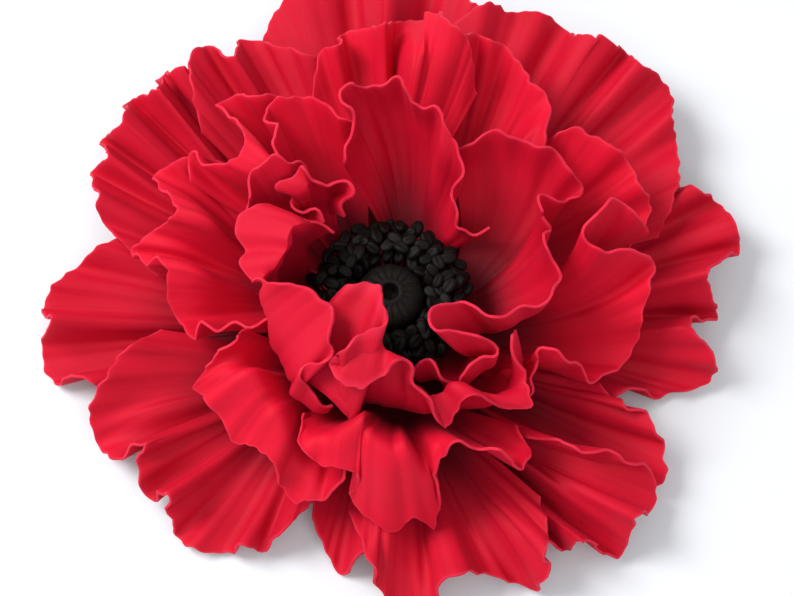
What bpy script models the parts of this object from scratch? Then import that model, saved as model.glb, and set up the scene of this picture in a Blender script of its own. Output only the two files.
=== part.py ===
"""Double poppy flower, cut and lying face up: petals, seed pod, stamens and receptacle.

Blender 4.5 script, metres, +Z up. The flower's axis is +Z. Every petal grows from the round
receptacle and is laid over the petals outside it, so its shape is worked out in round
coordinates about the receptacle's centre: azimuth, distance and elevation.
"""
import math

import bmesh
import bpy
import numpy as np
from mathutils import Matrix, Vector

MM = 0.001

# Driving dimensions, mm
PETAL_THICKNESS = 0.6
PETAL_GAP = 1.05           # between the middle surfaces of two petals that lie together
FLOOR_CLEARANCE = 0.3      # middle surface of the lowest petals above the table

KNOB_CENTRE = 8.0          # height of the receptacle's round centre
KNOB_RADIUS = 6.5
KNOB_FOOT_RADIUS = 5.0
KNOB_TOP = 12.7
PETAL_START = 7.0          # distance from the receptacle's centre where each petal begins

POD_BASE = 13.0
POD_TOP = 22.0
POD_RADIUS = 6.15
POD_HOLE_RADIUS = 1.5
POD_HOLE_DEPTH = 3.0
POD_RIBS = 12

ANTHER_LENGTH = 2.7
ANTHER_RADIUS = 1.05
FILAMENT_RADIUS = 0.28
STAMEN_RING_RADIUS = 0.45

# Rows of a petal from its foot to its rim, and the fan-out of its columns
PETAL_ROWS = (0.0, 0.16, 0.36, 0.58, 0.8, 1.0)
FOOT_SPREAD = 0.26         # width of a petal's foot, as a part of its width at the rim
FOOT_SPREAD_LIMIT = 17.0   # degrees to each side
FAN_POWER = 1.7            # how soon a petal widens above its foot
RUFFLE_POWER = 2.3         # how fast the rim's waves die away towards the foot
ARCH_PEAK = 0.4            # highest value of the curve that an arch follows up the petal

# Whorl: foot elevation in degrees, then how fast distance and elevation grow up the petal
OUTER = (-26.0, 1.0, 0.50)
MIDDLE = (-9.0, 1.15, 0.85)
INNER = (4.0, 1.25, 1.15)
CUPPED = (8.0, 1.75, 1.75)

# Petals from the outermost to the innermost. Each rim point is azimuth in degrees
# (counter-clockwise from +X), radius and height in mm, and, where the petal arches up before
# it curls over to its rim, by how many degrees.
PETALS = (
    ("outer_petal_back", OUTER, (
        (66, 55, 8), (72, 63, 11), (76, 65, 15), (79, 67, 13), (83, 69, 10), (88, 65, 15),
        (91, 63, 18), (94, 67, 13), (98, 70, 10), (102, 68, 13), (106, 69, 13), (110, 67, 9),
        (114, 63, 7), (118, 55, 6))),
    ("outer_petal_right", OUTER, (
        (-25, 40, 4), (-21, 44, 9), (-17, 48, 6), (-14, 54, 2), (-11, 61, 4), (-8, 61, 9),
        (-4, 55, 14), (-1, 58, 9), (1, 62, 5), (4, 60, 11), (6, 59, 15), (9, 63, 12),
        (12, 68, 7), (15, 68, 10), (20, 67, 8), (23, 63, 12), (26, 60, 8), (30, 54, 6))),
    ("outer_petal_back_right", OUTER, (
        (17, 53, 6), (22, 58, 9), (27, 62, 8), (33, 66, 8), (36, 67, 13), (39, 71, 9),
        (43, 72, 10), (46, 69, 15), (50, 71, 11), (53, 67, 18), (57, 67, 13), (61, 69, 10),
        (65, 68, 13), (69, 66, 10), (73, 65, 11), (78, 60, 8))),
    ("outer_petal_front_right", OUTER, (
        (-46, 42, 6), (-42, 48, 8), (-37, 55, 4), (-31, 59, 5), (-28, 57, 6), (-26, 55, 9),
        (-24, 52, 11), (-23, 47, 12), (-21, 42, 8), (-17, 38, 5))),
    ("outer_petal_front_right_low", OUTER, (
        (-64, 42, 4), (-60, 48, 6), (-57, 51, 9), (-54, 54, 4), (-52, 55, 12), (-49, 58, 6),
        (-47, 61, 2), (-44, 60, 7), (-42, 59, 12), (-38, 60, 7), (-35, 59, 5), (-33, 57, 9),
        (-34, 53, 14), (-37, 48, 17), (-41, 42, 18), (-46, 35, 15))),
    ("outer_petal_front_small", OUTER, (
        (-115, 34, 4), (-110, 40, 5), (-106, 44, 2), (-101, 48, 1), (-97, 46, 7),
        (-93, 43, 8), (-89, 38, 5))),
    ("outer_petal_front", OUTER, (
        (-103, 36, 5), (-97, 43, 8), (-94, 48, 7), (-91, 52, 3), (-86, 55, 1), (-82, 54, 5),
        (-79, 51, 11), (-75, 51, 12), (-71, 51, 7), (-66, 54, 3), (-62, 57, 3), (-59, 54, 9),
        (-56, 50, 12), (-52, 44, 8))),
    ("outer_petal_left", OUTER, (
        (156, 48, 5), (162, 53, 7), (166, 57, 9), (170, 61, 5), (174, 64, 7), (178, 66, 4),
        (181, 63, 11), (184, 66, 3), (189, 65, 1), (192, 58, 9), (195, 55, 7), (198, 51, 3),
        (203, 44, 4))),
    ("outer_petal_front_left", OUTER, (
        (184, 43, 9), (189, 49, 12), (194, 54, 10), (198, 58, 5), (203, 59, 3), (207, 58, 5),
        (209, 54, 9), (210, 51, 12), (212, 54, 8), (215, 56, 5), (218, 55, 5), (221, 53, 11),
        (225, 56, 2), (230, 56, 3), (235, 53, 1), (238, 51, 6), (242, 49, 4), (245, 45, 9),
        (248, 38, 7), (252, 31, 6))),
    ("outer_petal_left_pleated", OUTER, (
        (120, 55, 8), (125, 62, 7), (129, 63, 14), (132, 68, 7), (135, 63, 14), (138, 68, 7),
        (141, 66, 12), (144, 63, 15), (147, 67, 7), (150, 62, 13), (153, 65, 7), (157, 60, 13),
        (160, 59, 9), (164, 53, 6), (169, 45, 6))),
    ("outer_petal_back_left", OUTER, (
        (98, 48, 12), (104, 52, 15), (109, 54, 16), (114, 61, 12), (118, 63, 12),
        (121, 58, 17), (124, 65, 11), (127, 64, 12), (131, 58, 16), (135, 51, 12))),
    ("middle_petal_back_right", MIDDLE, (
        (12, 44, 13), (17, 49, 15), (21, 52, 17), (24, 51, 21), (29, 51, 21), (33, 50, 24),
        (38, 48, 24), (43, 46, 24), (46, 42, 21), (50, 36, 18))),
    ("middle_petal_back_near_right", MIDDLE, (
        (38, 35, 18), (44, 40, 23), (47, 44, 21), (50, 47, 21), (54, 49, 23), (58, 49, 23),
        (62, 52, 22), (66, 54, 22), (69, 53, 24), (72, 54, 23), (75, 49, 28), (81, 42, 22))),
    ("middle_petal_back", MIDDLE, (
        (68, 44, 17), (73, 52, 21), (76, 53, 23), (80, 56, 20), (85, 57, 18), (89, 55, 21),
        (91, 52, 26), (94, 54, 21), (99, 55, 18), (102, 50, 23), (105, 51, 20), (109, 45, 17),
        (114, 38, 15))),
    ("middle_petal_front_left", MIDDLE, (
        (195, 26, 21), (201, 31, 25, 3), (203, 35, 21, 10), (205, 39, 16, 16), (209, 38, 18, 20),
        (213, 38, 20, 20), (219, 38, 18, 20), (223, 38, 15, 20), (229, 37, 18, 17),
        (235, 37, 19, 12), (240, 39, 13, 10), (244, 40, 11, 10), (249, 39, 13, 6),
        (253, 38, 15), (256, 34, 19), (261, 28, 18))),
    ("middle_petal_left", MIDDLE, (
        (137, 41, 15), (143, 47, 18), (147, 49, 18), (151, 51, 16, 4), (154, 46, 20, 8),
        (158, 42, 23, 12), (161, 44, 19, 8), (164, 48, 14, 4), (167, 50, 12, 4),
        (170, 45, 17, 8), (173, 41, 20, 10), (178, 41, 15, 5), (184, 39, 12), (188, 37, 14),
        (190, 33, 19), (191, 30, 19), (193, 26, 15), (197, 22, 18))),
    ("middle_petal_left_curled", MIDDLE, (
        (113, 37, 19), (119, 43, 23), (123, 46, 24), (127, 49, 21), (131, 50, 20),
        (131, 45, 24, 8), (132, 41, 27, 14), (135, 37, 28, 16), (139, 37, 27, 16),
        (142, 39, 24, 12), (143, 43, 21, 5), (143, 47, 18), (148, 45, 14))),
    ("middle_petal_back_left", MIDDLE, (
        (97, 30, 22), (102, 33, 25), (107, 36, 25), (110, 39, 25), (114, 41, 24),
        (119, 43, 24), (123, 42, 24), (128, 38, 23), (133, 33, 21))),
    ("middle_petal_right_curled", MIDDLE, (
        (-42, 27, 18), (-36, 31, 20), (-31, 30, 22), (-27, 29, 26), (-24, 32, 27),
        (-23, 36, 22), (-21, 40, 14), (-16, 43, 12), (-11, 45, 12), (-7, 46, 15),
        (-3, 46, 19), (1, 47, 22), (6, 48, 22), (8, 46, 25), (8, 42, 27), (8, 38, 28),
        (12, 36, 29), (15, 36, 30), (18, 38, 31), (19, 41, 31), (19, 44, 29), (17, 46, 27),
        (15, 48, 23), (15, 49, 18), (20, 48, 13))),
    ("middle_petal_front", MIDDLE, (
        (-125, 27, 19), (-118, 33, 23, 6), (-112, 34, 21, 12), (-105, 34, 22, 18),
        (-99, 34, 22, 24), (-101, 37, 15, 32), (-95, 40, 11, 34), (-88, 41, 9, 34),
        (-84, 40, 14, 30), (-79, 41, 9, 26), (-77, 38, 16, 16), (-75, 33, 25, 8),
        (-69, 32, 28, 5), (-63, 34, 25), (-58, 36, 26), (-54, 40, 18), (-51, 39, 19),
        (-46, 33, 15))),
    ("inner_petal_back_left_lobe", INNER, (
        (122, 22, 24), (129, 28, 28), (133, 33, 30), (138, 34, 28), (144, 33, 27),
        (150, 30, 26), (156, 25, 23))),
    ("inner_petal_left_star", CUPPED, (
        (124, 15, 27), (119, 16, 30), (115, 16, 32), (115, 18, 33), (120, 19, 33), (125, 20, 32),
        (128, 23, 33), (131, 25, 35, 4), (134, 26, 32, 12), (140, 28, 28, 20), (138, 25, 28, 16),
        (139, 23, 28, 11), (140, 20, 28, 6), (138, 18, 29, 2), (137, 16, 28))),
    ("inner_petal_left", CUPPED, (
        (137, 15, 28, 4), (146, 17, 32, 14), (149, 21, 32, 24), (149, 25, 30, 30),
        (151, 28, 29, 33), (155, 30, 28, 34), (160, 29, 27, 33), (167, 27, 28, 30),
        (176, 26, 29, 24), (184, 24, 32, 14), (190, 20, 36, 6), (196, 16, 37), (206, 14, 37),
        (218, 13, 37), (229, 15, 37), (236, 18, 35), (233, 21, 33), (231, 24, 30),
        (238, 25, 26), (245, 24, 23))),
    ("inner_petal_front", CUPPED, (
        (209, 13, 30), (207, 9, 34), (213, 7, 36), (232, 5, 37), (256, 6, 38), (267, 9, 38),
        (262, 12, 38), (253, 14, 38, 4), (245, 16, 37, 9), (241, 19, 35, 14), (242, 21, 33, 20),
        (248, 22, 32, 25), (258, 22, 33, 26), (265, 20, 34, 23), (273, 18, 36, 18),
        (281, 19, 34, 15), (283, 21, 32, 14), (287, 25, 29, 14), (290, 28, 24, 14),
        (294, 27, 26, 14), (298, 26, 28, 14), (303, 26, 29, 14), (308, 28, 27, 14),
        (313, 31, 24, 12), (318, 33, 24, 9), (323, 30, 25, 6), (327, 26, 28, 4),
        (332, 24, 30), (337, 24, 28))),
    ("inner_petal_right", INNER, (
        (-76, 16, 25), (-67, 17, 29), (-62, 20, 27), (-58, 23, 24), (-56, 22, 27),
        (-51, 22, 30), (-43, 22, 30), (-38, 23, 30), (-37, 20, 33), (-45, 17, 34),
        (-56, 14, 35), (-53, 11, 35), (-38, 11, 34), (-26, 14, 33), (-28, 18, 34),
        (-23, 21, 33), (-15, 25, 31), (-8, 28, 31), (-2, 30, 30), (4, 30, 28),
        (10, 28, 30), (15, 28, 31), (19, 31, 27), (24, 29, 30), (29, 31, 30),
        (27, 35, 26), (27, 38, 24), (31, 40, 26), (36, 39, 28), (42, 37, 30),
        (48, 36, 29), (54, 34, 30), (61, 31, 28), (67, 27, 26))),
    ("inner_petal_back", INNER, (
        (35, 22, 22), (38, 19, 21), (47, 17, 23), (53, 20, 26), (58, 23, 30), (63, 27, 31),
        (67, 29, 31), (72, 30, 33), (76, 32, 33), (80, 33, 31), (84, 34, 33), (88, 36, 35),
        (93, 36, 32), (98, 36, 33), (102, 36, 35), (104, 33, 35), (104, 29, 32),
        (110, 24, 28))),
)

# Stamen whorls: ring radius and height, then rows of (count, turn, path of radius and height)
STAMENS = (
    ("stamens_inner", (4.4, 13.5), (
        (19, 0.0, ((6.7, 15.9), (7.5, 18.2), (7.8, 20.0))),)),
    ("stamens_middle", (5.6, 12.6), (
        (24, 0.3, ((8.4, 14.9), (9.9, 17.2), (10.3, 19.0))),)),
    ("stamens_outer", (6.6, 11.0), (
        (28, 0.0, ((10.2, 13.6), (12.2, 15.8), (12.8, 17.6))),)),
)

# Map of the petals laid so far: cells of azimuth and of distance
MAP_TURNS = 240
MAP_STEPS = 82
SUB_ROWS = 14
SUB_COLUMNS = 8
STEP_FALL = 0.4            # mm that the map may fall from one step of distance to the next
LAY_ROUNDS = 14
LAY_TOLERANCE = 0.0005     # radians that a petal may still lack when the laying stops


def material(name, colour, roughness):
    """Principled material with one plain colour."""
    made = bpy.data.materials.new(name)
    made.use_nodes = True
    shader = made.node_tree.nodes["Principled BSDF"]
    shader.inputs["Base Color"].default_value = (*colour, 1.0)
    shader.inputs["Roughness"].default_value = roughness
    shader.inputs["Metallic"].default_value = 0.0
    made.diffuse_color = (*colour, 1.0)
    return made


def add_object(name, mesh, parent, finish):
    """Link one named, smooth-shaded object under the flower's empty."""
    mesh.materials.append(finish)
    mesh.shade_smooth()
    piece = bpy.data.objects.new(name, mesh)
    bpy.context.scene.collection.objects.link(piece)
    piece.parent = parent
    return piece


# ---------------------------------------------------------------- petals

def to_round(points):
    """Azimuth, distance from the knob's centre and elevation of points in mm."""
    x, y, z = points[..., 0], points[..., 1], points[..., 2] - KNOB_CENTRE
    plan = np.hypot(x, y)
    return np.arctan2(y, x), np.hypot(plan, z), np.arctan2(z, plan)


def from_round(azimuth, distance, elevation):
    """Points in mm at an azimuth, a distance from the knob's centre and an elevation."""
    plan = distance * np.cos(elevation)
    return np.stack((plan * np.cos(azimuth), plan * np.sin(azimuth),
                     KNOB_CENTRE + distance * np.sin(elevation)), axis=-1)


def soften(values, rounds=3):
    """Smooth a row of values along its length and keep its ends in place."""
    smooth = np.array(values, dtype=float)
    for _ in range(rounds):
        middle = (smooth[:-2] + 2.0 * smooth[1:-1] + smooth[2:]) / 4.0
        smooth[1:-1] = middle
    return smooth


def rim_places(rim):
    """Place of each rim point along the rim, from -1 at its start to 1 at its end."""
    azimuth = np.radians(rim[:, 0])
    points = np.stack((rim[:, 1] * np.cos(azimuth), rim[:, 1] * np.sin(azimuth), rim[:, 2]), axis=1)
    length = np.concatenate(([0.0], np.cumsum(np.linalg.norm(np.diff(points, axis=0), axis=1))))
    return length / length[-1] * 2.0 - 1.0


def petal_grid(whorl, rim):
    """Azimuth, distance and elevation of a petal's rows and columns before it is laid."""
    foot_elevation, distance_power, elevation_power = whorl
    rim = np.array([(*point, 0.0)[:4] for point in rim])
    azimuth = np.radians(rim[:, 0])
    height = rim[:, 2] - KNOB_CENTRE
    distance = np.hypot(rim[:, 1], height)
    elevation = np.arctan2(height, rim[:, 1])

    places = rim_places(rim)
    half_rim = (azimuth[-1] - azimuth[0]) / 2.0
    centre = (azimuth[0] + azimuth[-1]) / 2.0
    half_foot = min(FOOT_SPREAD * half_rim, math.radians(FOOT_SPREAD_LIMIT))

    rows = np.array(PETAL_ROWS)[:, None]
    fan = 1.0 - (1.0 - rows) ** FAN_POWER
    climb = 1.0 - (1.0 - rows) ** distance_power
    lift = rows ** elevation_power
    ruffle = rows ** RUFFLE_POWER
    arch = rows ** 2 * np.sin(math.pi * rows) / ARCH_PEAK * np.radians(soften(rim[:, 3], 1))

    mean_azimuth = (soften(azimuth) + centre + half_rim * places) / 2.0
    mean_distance = soften(distance)
    mean_elevation = soften(elevation)
    foot_azimuth = centre + half_foot * places
    foot_rise = math.radians(foot_elevation)
    return (foot_azimuth + (mean_azimuth - foot_azimuth) * fan + (azimuth - mean_azimuth) * ruffle,
            PETAL_START + (mean_distance - PETAL_START) * climb + (distance - mean_distance) * ruffle,
            foot_rise + (mean_elevation - foot_rise) * lift + arch
            + (elevation - mean_elevation) * ruffle)


def spread(grid):
    """Closely spaced points all over the quilt between a grid of points."""
    down = np.linspace(0.0, grid.shape[0] - 1.0, (grid.shape[0] - 1) * SUB_ROWS + 1)
    along = np.linspace(0.0, grid.shape[1] - 1.0, (grid.shape[1] - 1) * SUB_COLUMNS + 1)
    row = np.minimum(down.astype(int), grid.shape[0] - 2)
    column = np.minimum(along.astype(int), grid.shape[1] - 2)
    part_down = (down - row)[:, None, None]
    part_along = (along - column)[None, :, None]
    near = grid[row][:, column] * (1 - part_along) + grid[row][:, column + 1] * part_along
    far = grid[row + 1][:, column] * (1 - part_along) + grid[row + 1][:, column + 1] * part_along
    return near * (1 - part_down) + far * part_down


def cells(azimuth, distance):
    """Map cells of points given by azimuth and distance."""
    turn = np.round(azimuth / (2.0 * math.pi) * MAP_TURNS).astype(int) % MAP_TURNS
    return turn, np.clip(np.round(distance).astype(int), 0, MAP_STEPS - 1)


def floor_map():
    """Lowest elevation that a petal may have at each azimuth and distance above the table."""
    distance = np.maximum(np.arange(MAP_STEPS, dtype=float), 1.0)
    drop = (FLOOR_CLEARANCE - KNOB_CENTRE) / distance
    floor = np.where(drop > -1.0, np.arcsin(np.maximum(drop, -1.0)), -math.pi / 2.0)
    return np.tile(floor - PETAL_GAP / distance, (MAP_TURNS, 1))


def widen(laid):
    """Each cell takes the highest of itself and its neighbours, so rims keep clear too."""
    wide = laid.copy()
    reach = np.maximum(np.arange(MAP_STEPS), 1.0)
    for turn in (-1, 0, 1):
        for step in (-1, 0, 1):
            moved = np.roll(laid, turn, axis=0)
            moved[:, 1:-1] = np.roll(moved, step, axis=1)[:, 1:-1]
            wide = np.maximum(wide, moved - STEP_FALL * abs(step) / reach)
    return wide


def push_to_grid(need, shape):
    """Highest need found within half a cell of each grid point."""
    rows, columns = shape
    push = np.zeros(shape)
    for row in range(rows):
        first, last = max(row * SUB_ROWS - SUB_ROWS // 2, 0), row * SUB_ROWS + SUB_ROWS // 2 + 1
        band = need[first:last].max(axis=0)
        for column in range(columns):
            start = max(column * SUB_COLUMNS - SUB_COLUMNS // 2, 0)
            push[row, column] = band[start:column * SUB_COLUMNS + SUB_COLUMNS // 2 + 1].max()
    return push


def lay(grid, laid):
    """Raise a petal's grid until all its facets are clear of the petals laid before it."""
    azimuth, distance, elevation = (part.copy() for part in grid)
    wide = widen(laid)
    for _ in range(LAY_ROUNDS):
        turn, reach, height = to_round(spread(from_round(azimuth, distance, elevation)))
        need = wide[cells(turn, reach)] + PETAL_GAP / reach - height
        if need.max() <= LAY_TOLERANCE:
            break
        elevation += push_to_grid(np.maximum(need, 0.0), elevation.shape)
    points = from_round(azimuth, distance, elevation)
    turn, reach, height = to_round(spread(points))
    np.maximum.at(laid, cells(turn, reach), height)
    return points


def add_petal(name, points, parent, finish):
    """One petal: a quilt of its grid, thickened to both sides."""
    rows, columns = points.shape[:2]
    corners = [tuple(point) for point in (points * MM).reshape(-1, 3)]
    faces = [(row * columns + column, row * columns + column + 1,
              (row + 1) * columns + column + 1, (row + 1) * columns + column)
             for row in range(rows - 1) for column in range(columns - 1)]
    mesh = bpy.data.meshes.new(name)
    mesh.from_pydata(corners, [], faces)
    petal = add_object(name, mesh, parent, finish)
    solid = petal.modifiers.new("Thickness", "SOLIDIFY")
    solid.thickness = PETAL_THICKNESS * MM
    solid.offset = 0.0
    return petal


def add_petals(parent):
    """All petals, laid one over another from the outermost to the innermost."""
    finishes = {"outer": material("poppy_red_outer", (0.60, 0.010, 0.022), 0.55),
                "middle": material("poppy_red_middle", (0.66, 0.012, 0.028), 0.55),
                "inner": material("poppy_red_inner", (0.72, 0.015, 0.035), 0.55)}
    laid = floor_map()
    for name, whorl, rim in PETALS:
        points = lay(petal_grid(whorl, rim), laid)
        add_petal(name, points, parent, finishes[name.split("_")[0]])


# ---------------------------------------------------------------- middle of the flower

def turned(name, profile, segments, parent, finish, swell=None):
    """Closed solid turned about the axis from (radius, height) points that start and end on it."""
    form = bmesh.new()
    rings = []
    for radius, height in profile[1:-1]:
        ring = []
        for index in range(segments):
            angle = 2.0 * math.pi * index / segments
            reach = radius if swell is None else radius * swell(angle, height)
            ring.append(form.verts.new((reach * math.cos(angle) * MM, reach * math.sin(angle) * MM,
                                        height * MM)))
        rings.append(ring)
    ends = [form.verts.new((0.0, 0.0, profile[0][1] * MM)),
            form.verts.new((0.0, 0.0, profile[-1][1] * MM))]
    for index in range(segments):
        after = (index + 1) % segments
        form.faces.new((ends[0], rings[0][after], rings[0][index]))
        for low, high in zip(rings, rings[1:]):
            form.faces.new((low[index], low[after], high[after], high[index]))
        form.faces.new((ends[1], rings[-1][index], rings[-1][after]))
    bmesh.ops.recalc_face_normals(form, faces=form.faces)
    mesh = bpy.data.meshes.new(name)
    form.to_mesh(mesh)
    form.free()
    piece = add_object(name, mesh, parent, finish)
    mesh.set_sharp_from_angle(angle=math.radians(40.0))
    return piece


def add_receptacle(parent):
    """Round knob that carries everything, trimmed flat underneath."""
    profile = [(0.0, 0.0), (KNOB_FOOT_RADIUS, 0.0)]
    top_angle = math.asin((KNOB_TOP - KNOB_CENTRE) / KNOB_RADIUS)
    foot_angle = math.radians(-38.0)
    steps = 8
    for step in range(steps + 1):
        angle = foot_angle + (top_angle - foot_angle) * step / steps
        profile.append((KNOB_RADIUS * math.cos(angle), KNOB_CENTRE + KNOB_RADIUS * math.sin(angle)))
    profile.append((0.0, KNOB_TOP))
    turned("receptacle", profile, 24, parent, material("receptacle_green", (0.05, 0.07, 0.02), 0.7))


def add_seed_pod(parent):
    """Round pod with a ribbed top and a blind hole in its middle."""
    waist = (POD_TOP + POD_BASE) / 2.0 + 0.6
    profile = [(0.0, POD_BASE), (2.6, POD_BASE), (3.2, POD_BASE + 1.0), (5.1, waist - 2.6),
               (5.95, waist - 1.0), (POD_RADIUS, waist + 0.4), (5.9, waist + 1.7),
               (5.1, POD_TOP - 1.1), (3.9, POD_TOP - 0.4), (2.6, POD_TOP - 0.2),
               (2.1, POD_TOP), (POD_HOLE_RADIUS, POD_TOP - 0.25),
               (POD_HOLE_RADIUS, POD_TOP - POD_HOLE_DEPTH), (0.0, POD_TOP - POD_HOLE_DEPTH)]

    def ribs(angle, height):
        """Ribs on the top and the shoulder, none at the base."""
        strength = 0.02 if POD_BASE + 3.0 < height < POD_TOP - 0.3 else 0.0
        return 1.0 + strength * math.cos(POD_RIBS * angle)

    turned("seed_pod", profile, 2 * POD_RIBS, parent,
           material("pod_black_brown", (0.012, 0.009, 0.007), 0.45), ribs)


def add_ring(form, radius, height, count):
    """Thin four-sided ring; returns its outer top faces, one for each stamen."""
    around = [(radius - STAMEN_RING_RADIUS, height), (radius, height - STAMEN_RING_RADIUS),
              (radius + STAMEN_RING_RADIUS, height), (radius, height + STAMEN_RING_RADIUS)]
    loops = []
    for index in range(2 * count):
        angle = math.pi * index / count
        loops.append([form.verts.new((reach * math.cos(angle) * MM, reach * math.sin(angle) * MM,
                                      level * MM)) for reach, level in around])
    seats = []
    for index in range(2 * count):
        here, after = loops[index], loops[(index + 1) % (2 * count)]
        for side in range(4):
            other = (side + 1) % 4
            face = form.faces.new((here[side], here[other], after[other], after[side]))
            if side == 2 and index % 2 == 0:
                seats.append(face)
    return seats


def grow_stamen(form, seat, angle, path):
    """Extrude a filament and its anther from a face of the ring along a path."""
    outward = Vector((math.cos(angle), math.sin(angle), 0.0))
    aside = Vector((-math.sin(angle), math.cos(angle), 0.0))
    points = [outward * radius + Vector((0.0, 0.0, height)) for radius, height in path]
    tip_way = (points[-1] - points[-2]).normalized()
    half = ANTHER_LENGTH / 2.0
    middle = points[-1] + tip_way * half
    stations = [(points[0], FILAMENT_RADIUS), (points[1], FILAMENT_RADIUS),
                (points[2], FILAMENT_RADIUS), (middle - tip_way * half * 0.6, ANTHER_RADIUS * 0.8),
                (middle + tip_way * half * 0.1, ANTHER_RADIUS),
                (middle + tip_way * half * 0.8, ANTHER_RADIUS * 0.62)]
    ways = [points[1] - points[0], points[2] - points[0], tip_way, tip_way, tip_way, tip_way]
    corners = list(seat.verts)
    form.faces.remove(seat)
    for (centre, radius), way in zip(stations, ways):
        across = aside
        over = across.cross(way).normalized()
        ring = [form.verts.new((centre + (across * a + over * b) * radius) * MM)
                for a, b in ((-1, 1), (-1, -1), (1, -1), (1, 1))]
        ring = best_turn(corners, ring)
        for index in range(4):
            after = (index + 1) % 4
            form.faces.new((corners[index], corners[after], ring[after], ring[index]))
        corners = ring
    form.faces.new(corners)


def best_turn(below, ring):
    """Order a ring of four corners so that it lies over the four below it without a twist."""
    turns = [order[shift:] + order[:shift] for order in (ring, ring[::-1]) for shift in range(4)]
    return min(turns, key=lambda turn: sum((low.co - high.co).length_squared
                                           for low, high in zip(below, turn)))


def add_stamens(parent):
    """Whorls of stamens, each whorl joined by the thin ring that it grows from."""
    finish = material("anther_black_brown", (0.010, 0.007, 0.006), 0.5)
    for name, (radius, height), rows in STAMENS:
        form = bmesh.new()
        for count, turn, path in rows:
            step = 2.0 * math.pi / count
            seats = add_ring(form, radius, height, count)
            for index, seat in enumerate(seats):
                grow_stamen(form, seat, step * (index + 0.25), path)
            bmesh.ops.rotate(form, verts=form.verts, cent=(0.0, 0.0, 0.0),
                             matrix=Matrix.Rotation(step * turn, 3, "Z"))
        bmesh.ops.recalc_face_normals(form, faces=form.faces)
        mesh = bpy.data.meshes.new(name)
        form.to_mesh(mesh)
        form.free()
        add_object(name, mesh, parent, finish)


# ---------------------------------------------------------------- whole flower

def centre_on_origin(parent):
    """Move the flower so that the middle of its outline stands over the origin."""
    bpy.context.view_layer.update()
    corners = [piece.matrix_world @ Vector(corner)
               for piece in parent.children for corner in piece.bound_box]
    for axis in (0, 1):
        values = [corner[axis] for corner in corners]
        parent.location[axis] = -(min(values) + max(values)) / 2.0
    bpy.context.view_layer.update()


def main():
    for old in list(bpy.data.objects):
        bpy.data.objects.remove(old, do_unlink=True)
    bpy.context.scene.unit_settings.length_unit = "MILLIMETERS"
    flower = bpy.data.objects.new("flower_axis", None)
    bpy.context.scene.collection.objects.link(flower)
    add_receptacle(flower)
    add_seed_pod(flower)
    add_stamens(flower)
    add_petals(flower)
    centre_on_origin(flower)


main()
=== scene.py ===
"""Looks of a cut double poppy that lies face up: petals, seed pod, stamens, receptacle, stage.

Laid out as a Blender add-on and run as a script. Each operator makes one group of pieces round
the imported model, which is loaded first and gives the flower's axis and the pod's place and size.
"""
import math

import bpy
import numpy as np
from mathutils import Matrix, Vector


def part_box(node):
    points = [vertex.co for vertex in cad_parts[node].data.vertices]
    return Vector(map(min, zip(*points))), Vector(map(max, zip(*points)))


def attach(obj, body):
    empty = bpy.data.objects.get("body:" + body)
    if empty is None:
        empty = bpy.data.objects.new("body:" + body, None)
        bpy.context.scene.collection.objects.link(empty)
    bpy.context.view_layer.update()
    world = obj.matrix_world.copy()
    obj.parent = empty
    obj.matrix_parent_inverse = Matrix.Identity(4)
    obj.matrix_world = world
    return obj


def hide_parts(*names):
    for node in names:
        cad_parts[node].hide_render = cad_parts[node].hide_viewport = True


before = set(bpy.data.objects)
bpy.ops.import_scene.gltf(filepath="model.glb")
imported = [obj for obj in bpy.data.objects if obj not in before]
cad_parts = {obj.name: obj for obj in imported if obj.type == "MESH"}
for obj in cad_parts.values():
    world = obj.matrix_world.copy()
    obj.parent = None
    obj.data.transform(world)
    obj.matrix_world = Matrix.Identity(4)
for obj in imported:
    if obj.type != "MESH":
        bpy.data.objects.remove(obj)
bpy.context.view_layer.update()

bl_info = {
    "name": "Double Poppy Looks",
    "version": (1, 0, 0),
    "blender": (4, 5, 0),
    "location": "View3D > Sidebar > Poppy",
    "description": "Petals, seed pod and stamens of a double poppy, with their finishes",
    "category": "Object",
}

MM = 0.001

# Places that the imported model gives, in metres
POD_LOW, POD_HIGH = (Vector(corner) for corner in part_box("seed_pod"))
FLOWER_AXIS = ((POD_LOW.x + POD_HIGH.x) / 2.0, (POD_LOW.y + POD_HIGH.y) / 2.0)

# Petal construction in mm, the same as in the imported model's solids
PETAL_GAP = 1.05           # from one laid petal to the next
FLOOR_CLEARANCE = 0.3
KNOB_CENTRE = 8.0          # height of the receptacle's round centre
PETAL_START = 7.0          # distance from that centre where each petal begins

# Rows of a petal from its foot to its rim, and the fan-out of its columns
PETAL_ROWS = (0.0, 0.16, 0.36, 0.58, 0.8, 1.0)
FOOT_SPREAD = 0.26         # width of a petal's foot, as a part of its width at the rim
FOOT_SPREAD_LIMIT = 17.0   # degrees to each side
FAN_POWER = 1.7            # how soon a petal widens above its foot
RUFFLE_POWER = 2.3         # how fast the rim's waves die away towards the foot
ARCH_PEAK = 0.4            # highest value of the curve that an arch follows up the petal

# Whorl: foot elevation in degrees, then how fast distance and elevation grow up the petal
OUTER = (-26.0, 1.0, 0.50)
MIDDLE = (-9.0, 1.15, 0.85)
INNER = (4.0, 1.25, 1.15)
CUPPED = (8.0, 1.75, 1.75)

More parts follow.
